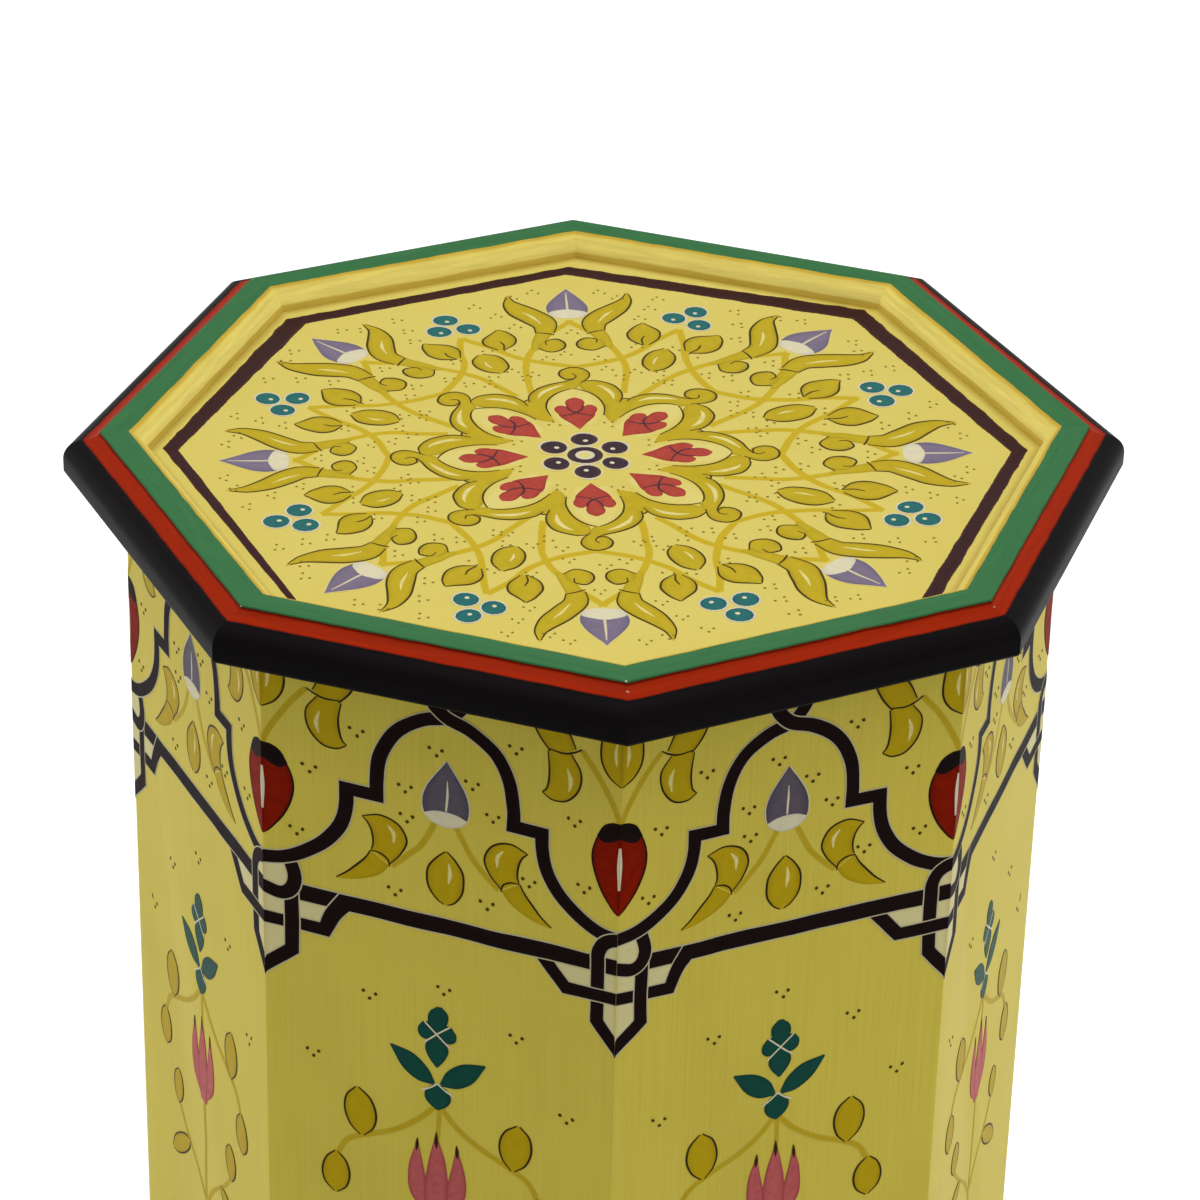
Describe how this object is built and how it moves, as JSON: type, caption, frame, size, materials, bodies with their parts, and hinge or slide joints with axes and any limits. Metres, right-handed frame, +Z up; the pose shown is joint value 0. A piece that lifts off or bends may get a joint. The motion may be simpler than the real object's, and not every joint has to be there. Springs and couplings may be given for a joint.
{
  "type": "octagonal side table",
  "caption": "Octagonal painted wooden side table: a tray top with a moulded rim on a panelled body with arched feet and traditional floral ornament.",
  "frame": {"origin": "on the floor, at the middle of the octagon", "axes": "+Z up along the table's upright axis; -Y out of side number 1, +X to its right"},
  "size_m": [0.406, 0.406, 0.508],
  "materials": {
    "top_paint": "painted, satin varnish",
    "rim_paint": "painted, satin varnish",
    "panel_paint": "painted, satin varnish",
    "bare_wood": "sawn, unfinished",
    "steel": "plain wire steel"
  },
  "bodies": {
    "root": {"top_board": "top_paint", "rim_moulding_1": "rim_paint", "rim_moulding_2": "rim_paint", "rim_moulding_3": "rim_paint", "rim_moulding_4": "rim_paint", "rim_moulding_5": "rim_paint", "rim_moulding_6": "rim_paint", "rim_moulding_7": "rim_paint", "rim_moulding_8": "rim_paint", "side_panel_1": "panel_paint", "side_panel_2": "panel_paint", "side_panel_3": "panel_paint", "side_panel_4": "panel_paint", "side_panel_5": "panel_paint", "side_panel_6": "panel_paint", "side_panel_7": "panel_paint", "side_panel_8": "panel_paint", "top_cleat_1": "bare_wood", "top_cleat_2": "bare_wood", "top_cleat_3": "bare_wood", "top_cleat_4": "bare_wood", "top_cleat_5": "bare_wood", "top_cleat_6": "bare_wood", "top_cleat_7": "bare_wood", "top_cleat_8": "bare_wood", "corner_strip_1": "bare_wood", "corner_strip_2": "bare_wood", "corner_strip_3": "bare_wood", "corner_strip_4": "bare_wood", "corner_strip_5": "bare_wood", "corner_strip_6": "bare_wood", "corner_strip_7": "bare_wood", "corner_strip_8": "bare_wood", "cleat_screws": "steel", "rim_brads": "steel"}
  },
  "joints": []
}
